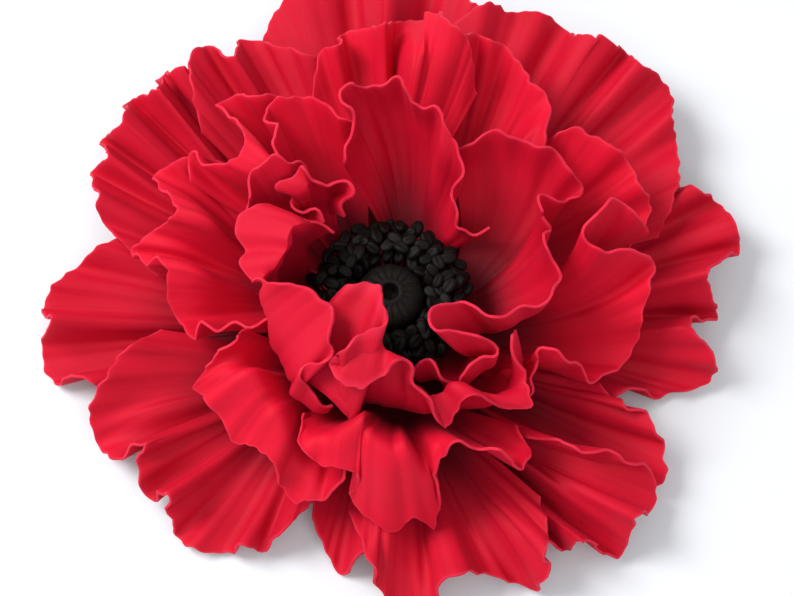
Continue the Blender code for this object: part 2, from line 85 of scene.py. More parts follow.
# Petals from the outermost to the innermost. Each rim point is azimuth in degrees
# (counter-clockwise from +X), radius and height in mm, and, where the petal arches up before
# it curls over to its rim, by how many degrees.
PETALS = (
    ("outer_petal_back", OUTER, (
        (66, 55, 8), (72, 63, 11), (76, 65, 15), (79, 67, 13), (83, 69, 10), (88, 65, 15),
        (91, 63, 18), (94, 67, 13), (98, 70, 10), (102, 68, 13), (106, 69, 13), (110, 67, 9),
        (114, 63, 7), (118, 55, 6))),
    ("outer_petal_right", OUTER, (
        (-25, 40, 4), (-21, 44, 9), (-17, 48, 6), (-14, 54, 2), (-11, 61, 4), (-8, 61, 9),
        (-4, 55, 14), (-1, 58, 9), (1, 62, 5), (4, 60, 11), (6, 59, 15), (9, 63, 12),
        (12, 68, 7), (15, 68, 10), (20, 67, 8), (23, 63, 12), (26, 60, 8), (30, 54, 6))),
    ("outer_petal_back_right", OUTER, (
        (17, 53, 6), (22, 58, 9), (27, 62, 8), (33, 66, 8), (36, 67, 13), (39, 71, 9),
        (43, 72, 10), (46, 69, 15), (50, 71, 11), (53, 67, 18), (57, 67, 13), (61, 69, 10),
        (65, 68, 13), (69, 66, 10), (73, 65, 11), (78, 60, 8))),
    ("outer_petal_front_right", OUTER, (
        (-46, 42, 6), (-42, 48, 8), (-37, 55, 4), (-31, 59, 5), (-28, 57, 6), (-26, 55, 9),
        (-24, 52, 11), (-23, 47, 12), (-21, 42, 8), (-17, 38, 5))),
    ("outer_petal_front_right_low", OUTER, (
        (-64, 42, 4), (-60, 48, 6), (-57, 51, 9), (-54, 54, 4), (-52, 55, 12), (-49, 58, 6),
        (-47, 61, 2), (-44, 60, 7), (-42, 59, 12), (-38, 60, 7), (-35, 59, 5), (-33, 57, 9),
        (-34, 53, 14), (-37, 48, 17), (-41, 42, 18), (-46, 35, 15))),
    ("outer_petal_front_small", OUTER, (
        (-115, 34, 4), (-110, 40, 5), (-106, 44, 2), (-101, 48, 1), (-97, 46, 7),
        (-93, 43, 8), (-89, 38, 5))),
    ("outer_petal_front", OUTER, (
        (-103, 36, 5), (-97, 43, 8), (-94, 48, 7), (-91, 52, 3), (-86, 55, 1), (-82, 54, 5),
        (-79, 51, 11), (-75, 51, 12), (-71, 51, 7), (-66, 54, 3), (-62, 57, 3), (-59, 54, 9),
        (-56, 50, 12), (-52, 44, 8))),
    ("outer_petal_left", OUTER, (
        (156, 48, 5), (162, 53, 7), (166, 57, 9), (170, 61, 5), (174, 64, 7), (178, 66, 4),
        (181, 63, 11), (184, 66, 3), (189, 65, 1), (192, 58, 9), (195, 55, 7), (198, 51, 3),
        (203, 44, 4))),
    ("outer_petal_front_left", OUTER, (
        (184, 43, 9), (189, 49, 12), (194, 54, 10), (198, 58, 5), (203, 59, 3), (207, 58, 5),
        (209, 54, 9), (210, 51, 12), (212, 54, 8), (215, 56, 5), (218, 55, 5), (221, 53, 11),
        (225, 56, 2), (230, 56, 3), (235, 53, 1), (238, 51, 6), (242, 49, 4), (245, 45, 9),
        (248, 38, 7), (252, 31, 6))),
    ("outer_petal_left_pleated", OUTER, (
        (120, 55, 8), (125, 62, 7), (129, 63, 14), (132, 68, 7), (135, 63, 14), (138, 68, 7),
        (141, 66, 12), (144, 63, 15), (147, 67, 7), (150, 62, 13), (153, 65, 7), (157, 60, 13),
        (160, 59, 9), (164, 53, 6), (169, 45, 6))),
    ("outer_petal_back_left", OUTER, (
        (98, 48, 12), (104, 52, 15), (109, 54, 16), (114, 61, 12), (118, 63, 12),
        (121, 58, 17), (124, 65, 11), (127, 64, 12), (131, 58, 16), (135, 51, 12))),
    ("middle_petal_back_right", MIDDLE, (
        (12, 44, 13), (17, 49, 15), (21, 52, 17), (24, 51, 21), (29, 51, 21), (33, 50, 24),
        (38, 48, 24), (43, 46, 24), (46, 42, 21), (50, 36, 18))),
    ("middle_petal_back_near_right", MIDDLE, (
        (38, 35, 18), (44, 40, 23), (47, 44, 21), (50, 47, 21), (54, 49, 23), (58, 49, 23),
        (62, 52, 22), (66, 54, 22), (69, 53, 24), (72, 54, 23), (75, 49, 28), (81, 42, 22))),
    ("middle_petal_back", MIDDLE, (
        (68, 44, 17), (73, 52, 21), (76, 53, 23), (80, 56, 20), (85, 57, 18), (89, 55, 21),
        (91, 52, 26), (94, 54, 21), (99, 55, 18), (102, 50, 23), (105, 51, 20), (109, 45, 17),
        (114, 38, 15))),
    ("middle_petal_front_left", MIDDLE, (
        (195, 26, 21), (201, 31, 25, 3), (203, 35, 21, 10), (205, 39, 16, 16), (209, 38, 18, 20),
        (213, 38, 20, 20), (219, 38, 18, 20), (223, 38, 15, 20), (229, 37, 18, 17),
        (235, 37, 19, 12), (240, 39, 13, 10), (244, 40, 11, 10), (249, 39, 13, 6),
        (253, 38, 15), (256, 34, 19), (261, 28, 18))),
    ("middle_petal_left", MIDDLE, (
        (137, 41, 15), (143, 47, 18), (147, 49, 18), (151, 51, 16, 4), (154, 46, 20, 8),
        (158, 42, 23, 12), (161, 44, 19, 8), (164, 48, 14, 4), (167, 50, 12, 4),
        (170, 45, 17, 8), (173, 41, 20, 10), (178, 41, 15, 5), (184, 39, 12), (188, 37, 14),
        (190, 33, 19), (191, 30, 19), (193, 26, 15), (197, 22, 18))),
    ("middle_petal_left_curled", MIDDLE, (
        (113, 37, 19), (119, 43, 23), (123, 46, 24), (127, 49, 21), (131, 50, 20),
        (131, 45, 24, 8), (132, 41, 27, 14), (135, 37, 28, 16), (139, 37, 27, 16),
        (142, 39, 24, 12), (143, 43, 21, 5), (143, 47, 18), (148, 45, 14))),
    ("middle_petal_back_left", MIDDLE, (
        (97, 30, 22), (102, 33, 25), (107, 36, 25), (110, 39, 25), (114, 41, 24),
        (119, 43, 24), (123, 42, 24), (128, 38, 23), (133, 33, 21))),
    ("middle_petal_right_curled", MIDDLE, (
        (-42, 27, 18), (-36, 31, 20), (-31, 30, 22), (-27, 29, 26), (-24, 32, 27),
        (-23, 36, 22), (-21, 40, 14), (-16, 43, 12), (-11, 45, 12), (-7, 46, 15),
        (-3, 46, 19), (1, 47, 22), (6, 48, 22), (8, 46, 25), (8, 42, 27), (8, 38, 28),
        (12, 36, 29), (15, 36, 30), (18, 38, 31), (19, 41, 31), (19, 44, 29), (17, 46, 27),
        (15, 48, 23), (15, 49, 18), (20, 48, 13))),
    ("middle_petal_front", MIDDLE, (
        (-125, 27, 19), (-118, 33, 23, 6), (-112, 34, 21, 12), (-105, 34, 22, 18),
        (-99, 34, 22, 24), (-101, 37, 15, 32), (-95, 40, 11, 34), (-88, 41, 9, 34),
        (-84, 40, 14, 30), (-79, 41, 9, 26), (-77, 38, 16, 16), (-75, 33, 25, 8),
        (-69, 32, 28, 5), (-63, 34, 25), (-58, 36, 26), (-54, 40, 18), (-51, 39, 19),
        (-46, 33, 15))),
    ("inner_petal_back_left_lobe", INNER, (
        (122, 22, 24), (129, 28, 28), (133, 33, 30), (138, 34, 28), (144, 33, 27),
        (150, 30, 26), (156, 25, 23))),
    ("inner_petal_left_star", CUPPED, (
        (124, 15, 27), (119, 16, 30), (115, 16, 32), (115, 18, 33), (120, 19, 33), (125, 20, 32),
        (128, 23, 33), (131, 25, 35, 4), (134, 26, 32, 12), (140, 28, 28, 20), (138, 25, 28, 16),
        (139, 23, 28, 11), (140, 20, 28, 6), (138, 18, 29, 2), (137, 16, 28))),
    ("inner_petal_left", CUPPED, (
        (137, 15, 28, 4), (146, 17, 32, 14), (149, 21, 32, 24), (149, 25, 30, 30),
        (151, 28, 29, 33), (155, 30, 28, 34), (160, 29, 27, 33), (167, 27, 28, 30),
        (176, 26, 29, 24), (184, 24, 32, 14), (190, 20, 36, 6), (196, 16, 37), (206, 14, 37),
        (218, 13, 37), (229, 15, 37), (236, 18, 35), (233, 21, 33), (231, 24, 30),
        (238, 25, 26), (245, 24, 23))),
    ("inner_petal_front", CUPPED, (
        (209, 13, 30), (207, 9, 34), (213, 7, 36), (232, 5, 37), (256, 6, 38), (267, 9, 38),
        (262, 12, 38), (253, 14, 38, 4), (245, 16, 37, 9), (241, 19, 35, 14), (242, 21, 33, 20),
        (248, 22, 32, 25), (258, 22, 33, 26), (265, 20, 34, 23), (273, 18, 36, 18),
        (281, 19, 34, 15), (283, 21, 32, 14), (287, 25, 29, 14), (290, 28, 24, 14),
        (294, 27, 26, 14), (298, 26, 28, 14), (303, 26, 29, 14), (308, 28, 27, 14),
        (313, 31, 24, 12), (318, 33, 24, 9), (323, 30, 25, 6), (327, 26, 28, 4),
        (332, 24, 30), (337, 24, 28))),
    ("inner_petal_right", INNER, (
        (-76, 16, 25), (-67, 17, 29), (-62, 20, 27), (-58, 23, 24), (-56, 22, 27),
        (-51, 22, 30), (-43, 22, 30), (-38, 23, 30), (-37, 20, 33), (-45, 17, 34),
        (-56, 14, 35), (-53, 11, 35), (-38, 11, 34), (-26, 14, 33), (-28, 18, 34),
        (-23, 21, 33), (-15, 25, 31), (-8, 28, 31), (-2, 30, 30), (4, 30, 28),
        (10, 28, 30), (15, 28, 31), (19, 31, 27), (24, 29, 30), (29, 31, 30),
        (27, 35, 26), (27, 38, 24), (31, 40, 26), (36, 39, 28), (42, 37, 30),
        (48, 36, 29), (54, 34, 30), (61, 31, 28), (67, 27, 26))),
    ("inner_petal_back", INNER, (
        (35, 22, 22), (38, 19, 21), (47, 17, 23), (53, 20, 26), (58, 23, 30), (63, 27, 31),
        (67, 29, 31), (72, 30, 33), (76, 32, 33), (80, 33, 31), (84, 34, 33), (88, 36, 35),
        (93, 36, 32), (98, 36, 33), (102, 36, 35), (104, 33, 35), (104, 29, 32),
        (110, 24, 28))),
)

# Map of the petals laid so far: cells of azimuth and of distance, and how finely a petal's
# grid is read into it
MAP_TURNS = 240
MAP_STEPS = 82
SUB_ROWS = 14
SUB_COLUMNS = 8
STEP_FALL = 0.4            # mm that the map may fall from one step of distance to the next
LAY_ROUNDS = 14
LAY_TOLERANCE = 0.0005     # radians that a petal may still lack when the laying stops

# Fineness of the finished petals, mm between points along the rim and up the petal
RIM_STEP = 0.7
CLIMB_STEP = 1.5
LEAST_COLUMNS = 24
LEAST_ROWS = 14

# Shortest and longest waves along a petal, in mm: wrinkles, patches where the wrinkles are
# deeper, the frill inside the rim, and the rim's small uneven nibbles, with their depth
WRINKLE_WAVES = (2.5, 8.0)
PATCH_WAVES = (14.0, 30.0)
FRILL_WAVES = (6.0, 13.0)
NIBBLE_WAVES = (2.4, 7.0)
NIBBLE_DEPTH = 0.16

# Rounding of a petal's edge, as a part of its thickness
SOFT_RIM = 0.42

# How far up a petal of each whorl its dark heart reaches and over how much it fades out, as
# parts of its length. The dark heart is partly a poppy's real blotch and partly painted shade; it
# reaches highest on the outer whorl to darken it next to the middle petals' rims.
STAIN_AND_SHADE_TOPS = {"outer": 0.78, "middle": 0.7, "inner": 0.66}
STAIN_AND_SHADE_FADE = 0.4

# Pod: ribs round its shoulder with their height as a part of the radius, rays on its top and
# depths in mm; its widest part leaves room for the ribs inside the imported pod's box
POD_RIBS = 12
POD_RIB = 0.03
POD_RIB_ROOM = 1.02
POD_RAYS = 18
POD_RAY_DEPTH = 0.26
POD_HOLE_DEPTH = 3.0
POD_SIDES = 144

# Stamen rows from the pod outwards: radius and height of the anthers, how many, whorl node
ANTHER_ROWS = (
    (7.9, 19.6, 21, "stamens_inner"),
    (9.0, 21.6, 23, "stamens_inner"),
    (9.9, 19.6, 22, "stamens_middle"),
    (10.7, 22.0, 26, "stamens_middle"),
    (12.3, 20.9, 29, "stamens_outer"),
    (11.2, 18.4, 24, "stamens_outer"),
    (13.8, 19.2, 33, "stamens_outer"),
)
# Radius and height of the ring that each whorl's filaments grow from, then how thick the
# filaments and the rings are
RING_PLACES = {"stamens_inner": (4.4, 13.5), "stamens_middle": (5.6, 12.6),
               "stamens_outer": (6.6, 11.0)}
FILAMENT_RADIUS = 0.2
RING_RADIUS = 0.42

# Stage: half the floor's side in metres; each light's place and size in metres and its power in
# watts; the point that they face; how bright the room is; the shift that frames the flower
FLOOR_HALF = 3.0
LIGHTS = (
    ("window_light", (-0.52, 0.16, 0.64), 0.4, 7.6),
    ("fill_light", (0.2, -0.5, 0.8), 0.9, 3.0),
)
LIT_POINT = Vector((0.0, 0.0, 0.02))
ROOM_STRENGTH = 0.75
CAMERA_SHIFT = (0.0088, -0.0088)


# ---------------------------------------------------------------- settings

def linear(hex_value):
    """Linear colour with full alpha from an sRGB hex value."""
    parts = [int(hex_value[place:place + 2], 16) / 255.0 for place in (1, 3, 5)]
    return (*[part / 12.92 if part <= 0.04045 else ((part + 0.055) / 1.055) ** 2.4
              for part in parts], 1.0)


def colour_property(name, description, hex_value):
    """Colour setting with its default given as an sRGB hex value."""
    return bpy.props.FloatVectorProperty(
        name=name, description=description, default=linear(hex_value), subtype="COLOR", size=4,
        min=0.0, max=1.0)


class POPPY_PG_petals(bpy.types.PropertyGroup):
    """Petal sizes and reds."""

    thickness: bpy.props.FloatProperty(
        name="Thickness", description="Thickness of a petal", default=0.48 * MM,
        min=0.1 * MM, max=1.0 * MM, unit="LENGTH", precision=5)
    wrinkle: bpy.props.FloatProperty(
        name="Wrinkle", description="Depth of the fine wrinkles that run up a petal",
        default=0.09 * MM, min=0.0, max=0.5 * MM, unit="LENGTH", precision=5)
    frill: bpy.props.FloatProperty(
        name="Frill", description="Depth of the small waves just inside the rim",
        default=0.45 * MM, min=0.0, max=1.0 * MM, unit="LENGTH", precision=5)
    outer_red: colour_property("Outer red", "Red of the outer whorl", "#BA0D28")
    middle_red: colour_property("Middle red", "Red of the middle whorl", "#C50B29")
    inner_red: colour_property("Inner red", "Red of the inner whorl", "#B90927")
    # Rim colour: a painted highlight where a petal's edge catches the light
    rim_painted_highlight: colour_property("Rim", "Paler red at the edge of a petal", "#EE4060")
    # Heart colour: partly a poppy's real dark blotch, partly painted shade of the gaps between petals
    heart_maroon_and_shade: colour_property("Heart", "Dark stain towards the foot of a petal", "#4A0410")


class POPPY_PG_middle(bpy.types.PropertyGroup):
    """Sizes and colours of the pod, the stamens and the receptacle."""

    anther_length: bpy.props.FloatProperty(
        name="Anther length", description="Length of an anther", default=3.2 * MM,
        min=1.0 * MM, max=5.0 * MM, unit="LENGTH", precision=5)
    pod_brown: colour_property("Pod", "Black-brown of the pod", "#15100D")
    anther_brown: colour_property("Anthers", "Black-brown of the anthers", "#0D0807")
    receptacle_green: colour_property("Receptacle", "Green of the knob under the petals",
                                      "#4A5A2C")


class POPPY_PG_stage(bpy.types.PropertyGroup):
    """Floor and camera."""

    floor: colour_property("Floor", "Pale grey of the floor", "#D2D4D7")
    view_height: bpy.props.FloatProperty(
        name="View height", description="Angle of the camera above the floor",
        default=math.radians(70.0), min=0.0, max=math.radians(90.0), subtype="ANGLE")
    distance: bpy.props.FloatProperty(
        name="Distance", description="From the camera to the top of the pod", default=0.33,
        min=0.1, max=2.0, unit="LENGTH")
    lens: bpy.props.FloatProperty(
        name="Lens", description="Focal length of the camera", default=83.1, min=20.0,
        max=200.0, unit="CAMERA")


# ---------------------------------------------------------------- petal shapes

def to_round(points):
    """Azimuth, distance from the knob's centre and elevation of points in mm."""
    x, y, z = points[..., 0], points[..., 1], points[..., 2] - KNOB_CENTRE
    plan = np.hypot(x, y)
    return np.arctan2(y, x), np.hypot(plan, z), np.arctan2(z, plan)


def from_round(azimuth, distance, elevation):
    """Points in mm at an azimuth, a distance from the knob's centre and an elevation."""
    plan = distance * np.cos(elevation)
    return np.stack((plan * np.cos(azimuth), plan * np.sin(azimuth),
                     KNOB_CENTRE + distance * np.sin(elevation)), axis=-1)


def soften(values, rounds=3):
    """Smooth a row of values along its length and keep its ends in place."""
    smooth = np.array(values, dtype=float)
    for _ in range(rounds):
        middle = (smooth[:-2] + 2.0 * smooth[1:-1] + smooth[2:]) / 4.0
        smooth[1:-1] = middle
    return smooth


def rim_places(rim):
    """Place of each rim point along the rim, from -1 at its start to 1 at its end."""
    azimuth = np.radians(rim[:, 0])
    points = np.stack((rim[:, 1] * np.cos(azimuth), rim[:, 1] * np.sin(azimuth), rim[:, 2]), axis=1)
    length = np.concatenate(([0.0], np.cumsum(np.linalg.norm(np.diff(points, axis=0), axis=1))))
    return length / length[-1] * 2.0 - 1.0


def petal_grid(whorl, rim):
    """Azimuth, distance and elevation of a petal's rows and columns before it is laid."""
    foot_elevation, distance_power, elevation_power = whorl
    rim = np.array([(*point, 0.0)[:4] for point in rim])
    azimuth = np.radians(rim[:, 0])
    height = rim[:, 2] - KNOB_CENTRE
    distance = np.hypot(rim[:, 1], height)
    elevation = np.arctan2(height, rim[:, 1])

    places = rim_places(rim)
    half_rim = (azimuth[-1] - azimuth[0]) / 2.0
    centre = (azimuth[0] + azimuth[-1]) / 2.0
    half_foot = min(FOOT_SPREAD * half_rim, math.radians(FOOT_SPREAD_LIMIT))

    rows = np.array(PETAL_ROWS)[:, None]
    fan = 1.0 - (1.0 - rows) ** FAN_POWER
    climb = 1.0 - (1.0 - rows) ** distance_power
    lift = rows ** elevation_power
    ruffle = rows ** RUFFLE_POWER
    arch = rows ** 2 * np.sin(math.pi * rows) / ARCH_PEAK * np.radians(soften(rim[:, 3], 1))

    mean_azimuth = (soften(azimuth) + centre + half_rim * places) / 2.0
    mean_distance = soften(distance)
    mean_elevation = soften(elevation)
    foot_azimuth = centre + half_foot * places
    foot_rise = math.radians(foot_elevation)
    return (foot_azimuth + (mean_azimuth - foot_azimuth) * fan + (azimuth - mean_azimuth) * ruffle,
            PETAL_START + (mean_distance - PETAL_START) * climb + (distance - mean_distance) * ruffle,
            foot_rise + (mean_elevation - foot_rise) * lift + arch
            + (elevation - mean_elevation) * ruffle)


def spread(grid):
    """Closely spaced points all over the quilt between a grid of points."""
    down = np.linspace(0.0, grid.shape[0] - 1.0, (grid.shape[0] - 1) * SUB_ROWS + 1)
    along = np.linspace(0.0, grid.shape[1] - 1.0, (grid.shape[1] - 1) * SUB_COLUMNS + 1)
    row = np.minimum(down.astype(int), grid.shape[0] - 2)
    column = np.minimum(along.astype(int), grid.shape[1] - 2)
    part_down = (down - row)[:, None, None]
    part_along = (along - column)[None, :, None]
    near = grid[row][:, column] * (1 - part_along) + grid[row][:, column + 1] * part_along
    far = grid[row + 1][:, column] * (1 - part_along) + grid[row + 1][:, column + 1] * part_along
    return near * (1 - part_down) + far * part_down


def cells(azimuth, distance):
    """Map cells of points given by azimuth and distance."""
    turn = np.round(azimuth / (2.0 * math.pi) * MAP_TURNS).astype(int) % MAP_TURNS
    return turn, np.clip(np.round(distance).astype(int), 0, MAP_STEPS - 1)


def floor_map():
    """Lowest elevation that a petal may have at each azimuth and distance above the table."""
    distance = np.maximum(np.arange(MAP_STEPS, dtype=float), 1.0)
    drop = (FLOOR_CLEARANCE - KNOB_CENTRE) / distance
    floor = np.where(drop > -1.0, np.arcsin(np.maximum(drop, -1.0)), -math.pi / 2.0)
    return np.tile(floor - PETAL_GAP / distance, (MAP_TURNS, 1))


def widen(laid):
    """Each cell takes the highest of itself and its neighbours, so rims keep clear too."""
    wide = laid.copy()
    reach = np.maximum(np.arange(MAP_STEPS), 1.0)
    for turn in (-1, 0, 1):
        for step in (-1, 0, 1):
            moved = np.roll(laid, turn, axis=0)
            moved[:, 1:-1] = np.roll(moved, step, axis=1)[:, 1:-1]
            wide = np.maximum(wide, moved - STEP_FALL * abs(step) / reach)
    return wide


def push_to_grid(need, shape):
    """Highest need found within half a cell of each grid point."""
    rows, columns = shape
    push = np.zeros(shape)
    for row in range(rows):
        first, last = max(row * SUB_ROWS - SUB_ROWS // 2, 0), row * SUB_ROWS + SUB_ROWS // 2 + 1
        band = need[first:last].max(axis=0)
        for column in range(columns):
            start = max(column * SUB_COLUMNS - SUB_COLUMNS // 2, 0)
            push[row, column] = band[start:column * SUB_COLUMNS + SUB_COLUMNS // 2 + 1].max()
    return push


def lay(grid, laid):
    """Raise a petal's grid until all its facets are clear of the petals laid before it."""
    azimuth, distance, elevation = (part.copy() for part in grid)
    wide = widen(laid)
    for _ in range(LAY_ROUNDS):
        turn, reach, height = to_round(spread(from_round(azimuth, distance, elevation)))
        need = wide[cells(turn, reach)] + PETAL_GAP / reach - height
        if need.max() <= LAY_TOLERANCE:
            break
        elevation += push_to_grid(np.maximum(need, 0.0), elevation.shape)
    points = from_round(azimuth, distance, elevation)
    turn, reach, height = to_round(spread(points))
    np.maximum.at(laid, cells(turn, reach), height)
    return points


def through(values, places, samples):
    """Smooth curve through values at uneven places, read at the samples."""
    step = np.diff(places)
    shape = (-1,) + (1,) * (values.ndim - 1)
    slope = np.diff(values, axis=0) / step.reshape(shape)
    middle = (slope[:-1] * step[1:].reshape(shape) + slope[1:] * step[:-1].reshape(shape)) \
        / (step[:-1] + step[1:]).reshape(shape)
    tangent = np.concatenate((slope[:1], middle, slope[-1:]))
    span = np.clip(np.searchsorted(places, samples, side="right") - 1, 0, len(places) - 2)
    width = step[span]
    part = ((samples - places[span]) / width).reshape(shape)
    width = width.reshape(shape)
    return (values[span] * (2 * part ** 3 - 3 * part ** 2 + 1)
            + tangent[span] * width * (part ** 3 - 2 * part ** 2 + part)
            + values[span + 1] * (3 * part ** 2 - 2 * part ** 3)
            + tangent[span + 1] * width * (part ** 3 - part ** 2))


def normals_of(points):
    """Unit normals of a grid of points."""
    up = np.gradient(points, axis=0)
    along = np.gradient(points, axis=1)
    normal = np.cross(along, up)
    return normal / np.maximum(np.linalg.norm(normal, axis=2, keepdims=True), 1e-9)


def wander(chance, places, shortest, longest, count=7):
    """Uneven wave of about unit height along a row of places in mm."""
    waves = np.zeros_like(places)
    for _ in range(count):
        length = chance.uniform(shortest, longest)
        waves += np.sin(2.0 * math.pi * places / length + chance.uniform(0.0, 2.0 * math.pi))
    return waves / math.sqrt(count / 2.0)


def fine_petal(points, chance, wrinkle, frill_depth):
    """Finely divided petal through the laid grid, with wrinkles, and its places in mm."""
    rim_length = np.linalg.norm(np.diff(points[-1], axis=0), axis=1)
    rim_place = np.concatenate(([0.0], np.cumsum(np.sqrt(rim_length))))
    columns = max(int(rim_length.sum() / RIM_STEP), LEAST_COLUMNS)
    climb = np.linalg.norm(np.diff(points[:, points.shape[1] // 2], axis=0), axis=1)
    climb_place = np.concatenate(([0.0], np.cumsum(climb)))
    rows = max(int(climb.sum() / CLIMB_STEP), LEAST_ROWS)

    fine = through(points.transpose(1, 0, 2), rim_place, np.linspace(0.0, rim_place[-1], columns))
    up_places = np.linspace(0.0, 1.0, rows) ** 0.9 * climb_place[-1]
    fine = through(fine.transpose(1, 0, 2), climb_place, up_places)

    along = np.concatenate(([0.0], np.cumsum(np.linalg.norm(np.diff(fine[-1], axis=0), axis=1))))
    height = (up_places / up_places[-1])[:, None]
    normal = normals_of(fine)
    ribs = wander(chance, along, *WRINKLE_WAVES)[None, :]
    strength = 0.35 + 0.65 * np.abs(wander(chance, along, *PATCH_WAVES, count=3))[None, :]
    frill = wander(chance, along, *FRILL_WAVES)[None, :] * frill_depth * height ** 4
    fine = fine + normal * (wrinkle * ribs * strength * height ** 1.3 + frill)[..., None]
    nibble = wander(chance, along, *NIBBLE_WAVES)[None, :] * NIBBLE_DEPTH * height ** 14
    outward = fine[-1] - fine[-2]
    outward /= np.linalg.norm(outward, axis=1, keepdims=True)
    fine = fine + outward[None] * nibble[..., None]
    return fine, along, up_places


def petal_mesh(name, fine, along, up_places):
    """Sheet mesh of a petal with its places along the rim and up the petal as UVs in cm."""
    rows, columns = fine.shape[:2]
    corners = np.array(fine) * MM
    corners[..., 0] += FLOWER_AXIS[0]
    corners[..., 1] += FLOWER_AXIS[1]
    index = np.arange(rows * columns).reshape(rows, columns)
    faces = np.stack((index[:-1, :-1], index[:-1, 1:], index[1:, 1:], index[1:, :-1]), axis=-1)
    mesh = bpy.data.meshes.new(name)
    mesh.from_pydata(corners.reshape(-1, 3).tolist(), [], faces.reshape(-1, 4).tolist())
    place = np.stack(np.broadcast_arrays(along[None, :], up_places[:, None]), axis=-1) / 10.0
    loops = np.empty(len(mesh.loops), dtype=np.int32)
    mesh.loops.foreach_get("vertex_index", loops)
    layer = mesh.uv_layers.new(name="petal_places")
    layer.data.foreach_set("uv", place.reshape(-1, 2)[loops].astype(np.float32).ravel())
    edge = np.minimum(up_places[-1] - up_places[:, None],
                      np.minimum(along, along[-1] - along)[None, :] * 0.5 + 0.6)
    rim = mesh.attributes.new("to_rim", "FLOAT", "POINT")
    rim.data.foreach_set("value", edge.astype(np.float32).ravel())
    climb = np.broadcast_to((up_places / up_places[-1])[:, None], (rows, columns))
    share = mesh.attributes.new("from_foot", "FLOAT", "POINT")
    share.data.foreach_set("value", climb.astype(np.float32).ravel())
    mesh.shade_smooth()
    return mesh


def make_petals(whorl_word):
    """All petals of one whorl as finished pieces that stand for their plain solids."""
    settings = bpy.context.scene.poppy_petals
    # The finish paints a highlight along each rim and a maroon heart that is partly painted shade
    finish = petal_finish(f"{whorl_word}_petal_satin_red",
                          getattr(settings, f"{whorl_word}_red"), settings.rim_painted_highlight,
                          settings.heart_maroon_and_shade, STAIN_AND_SHADE_TOPS[whorl_word])
    for number, (name, points) in enumerate(laid_petals()):
        if not name.startswith(whorl_word):
            continue
        chance = np.random.default_rng(100 + number)
        fine, along, up_places = fine_petal(points, chance, settings.wrinkle / MM,
                                              settings.frill / MM)
        piece = add_piece(name, petal_mesh(name, fine, along, up_places), finish)
        solid = piece.modifiers.new("Thickness", "SOLIDIFY")
        solid.thickness = settings.thickness
        solid.offset = 0.0
        rounded = piece.modifiers.new("Soft rim", "BEVEL")
        rounded.width = settings.thickness * SOFT_RIM
        rounded.segments = 2
        rounded.limit_method = "ANGLE"
        rounded.angle_limit = math.radians(60.0)
        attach(piece, "root")
        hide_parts(name)


def laid_petals():
    """Name and laid grid of every petal, from the outermost to the innermost."""
    laid = floor_map()
    return [(name, lay(petal_grid(whorl, rim), laid)) for name, whorl, rim in PETALS]


def add_piece(name, mesh, finish):
    """Link one named piece of the looks."""
    mesh.materials.append(finish)
    piece = bpy.data.objects.new(f"{name}_look", mesh)
    bpy.context.scene.collection.objects.link(piece)
    return piece


# ---------------------------------------------------------------- finishes

def add_node(tree, kind, settings=None, links=None):
    """Add a node, set its properties and sockets, and link sockets into its inputs."""
    node = tree.nodes.new(kind)
    for key, value in (settings or {}).items():
        if isinstance(key, str) and hasattr(node, key):
            setattr(node, key, value)
        else:
            node.inputs[key].default_value = value
    for key, source in (links or {}).items():
        tree.links.new(source, node.inputs[key])
    return node


def new_finish(name):
    """Empty material with its Principled shader and node tree."""
    made = bpy.data.materials.new(name)
    made.use_nodes = True
    return made, made.node_tree, made.node_tree.nodes["Principled BSDF"]


